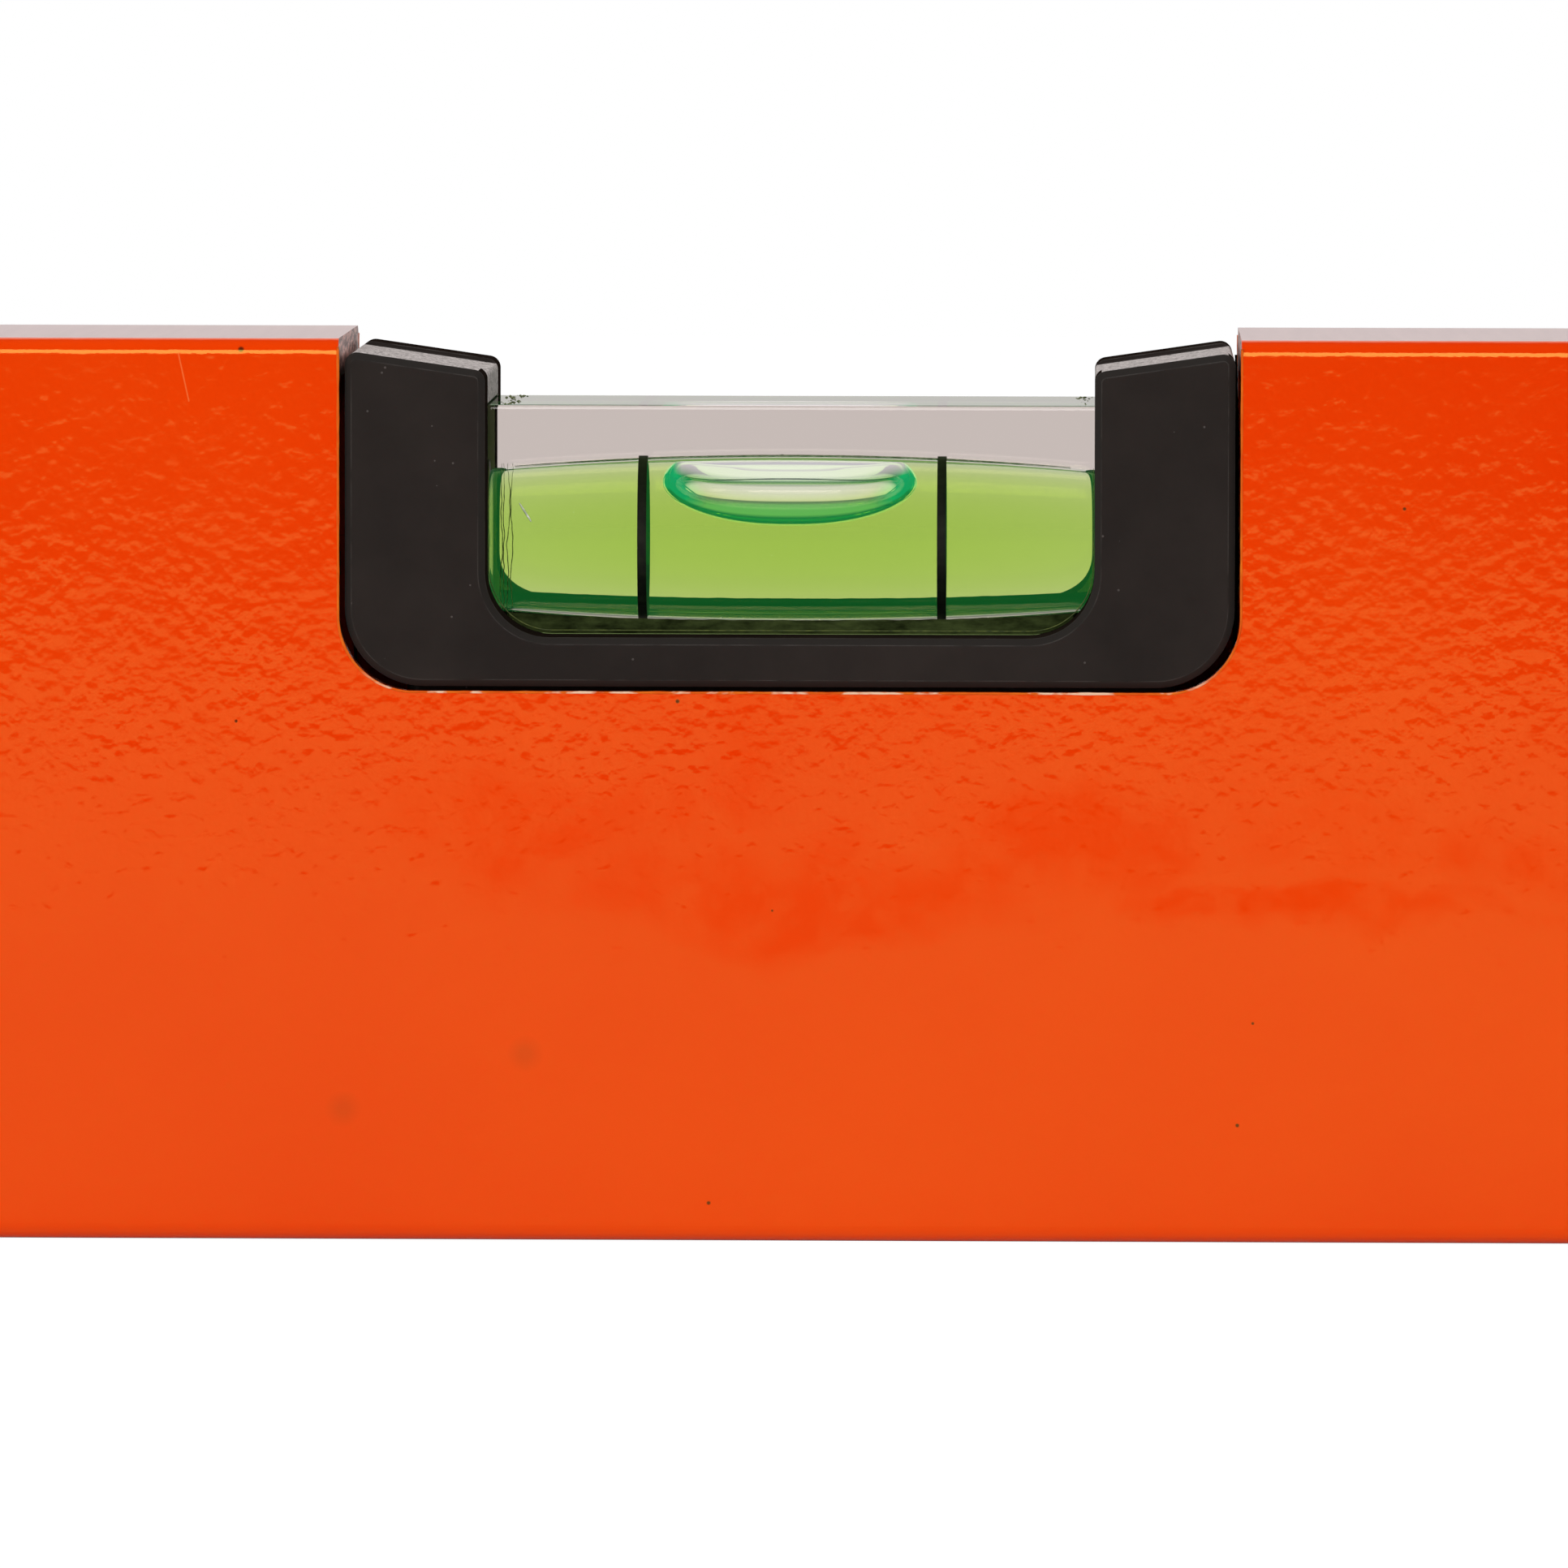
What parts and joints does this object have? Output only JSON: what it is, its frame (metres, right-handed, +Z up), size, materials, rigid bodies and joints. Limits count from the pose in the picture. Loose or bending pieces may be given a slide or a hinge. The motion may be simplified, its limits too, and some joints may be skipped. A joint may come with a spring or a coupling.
{
  "type": "box beam level",
  "caption": "Box beam spirit level: a painted box extrusion with a level vial block in a notch in its top edge and a plumb vial near each end.",
  "frame": {"origin": "middle of the base face: half way along the beam and half way between its front and back faces", "axes": "+X along the beam, -Y out of the front face, +Z up from the base face to the face with the notch"},
  "size_m": [0.4, 0.0262, 0.06],
  "materials": {
    "painted_beam": "semi-gloss orange paint with a light orange-peel texture; the top and base faces are bare milled aluminium",
    "holder_plastic": "moulded, fine grain, slightly scuffed",
    "cap_plastic": "moulded, fine grain",
    "clear_acrylic": "clear, polished, with specks of glue",
    "ring_black": "black line",
    "vial_fluid": "clear yellow-green fluid",
    "vial_bubble": "air bubble"
  },
  "bodies": {
    "root": {"beam": "painted_beam", "end_cap_left": "cap_plastic", "end_cap_right": "cap_plastic", "level_holder": "holder_plastic", "level_vial_block": "clear_acrylic", "level_vial_plug": "clear_acrylic", "level_ring_left": "ring_black", "level_ring_right": "ring_black", "level_fluid": "vial_fluid", "plumb_left_bezel_front": "holder_plastic", "plumb_left_bezel_back": "holder_plastic", "plumb_left_vial_block": "clear_acrylic", "plumb_left_vial_plug": "clear_acrylic", "plumb_left_ring_lower": "ring_black", "plumb_left_ring_upper": "ring_black", "plumb_left_fluid": "vial_fluid", "plumb_right_bezel_front": "holder_plastic", "plumb_right_bezel_back": "holder_plastic", "plumb_right_vial_block": "clear_acrylic", "plumb_right_vial_plug": "clear_acrylic", "plumb_right_ring_lower": "ring_black", "plumb_right_ring_upper": "ring_black", "plumb_right_fluid": "vial_fluid"},
    "level_bubble": {"level_bubble": "vial_bubble"},
    "plumb_left_bubble": {"plumb_left_bubble": "vial_bubble"},
    "plumb_right_bubble": {"plumb_right_bubble": "vial_bubble"}
  },
  "joints": [
    {"name": "level_bubble_travel", "type": "hinge", "parent": "root", "child": "level_bubble", "pos_m": [0, 0, -0.17805], "axis": [0, 1, 0], "range_deg": [-2.4, 2.4], "stiffness_Nm_per_rad": 0.05, "deforming": ["level_fluid"]},
    {"name": "plumb_left_bubble_travel", "type": "slide", "parent": "root", "child": "plumb_left_bubble", "axis": [0, 0, 1], "range_m": [-0.02746, 0], "stiffness_N_per_m": 20, "springref_m": 0.005, "deforming": ["plumb_left_fluid"]},
    {"name": "plumb_right_bubble_travel", "type": "slide", "parent": "root", "child": "plumb_right_bubble", "axis": [0, 0, 1], "range_m": [-0.02746, 0], "stiffness_N_per_m": 20, "springref_m": 0.005, "deforming": ["plumb_right_fluid"]}
  ]
}
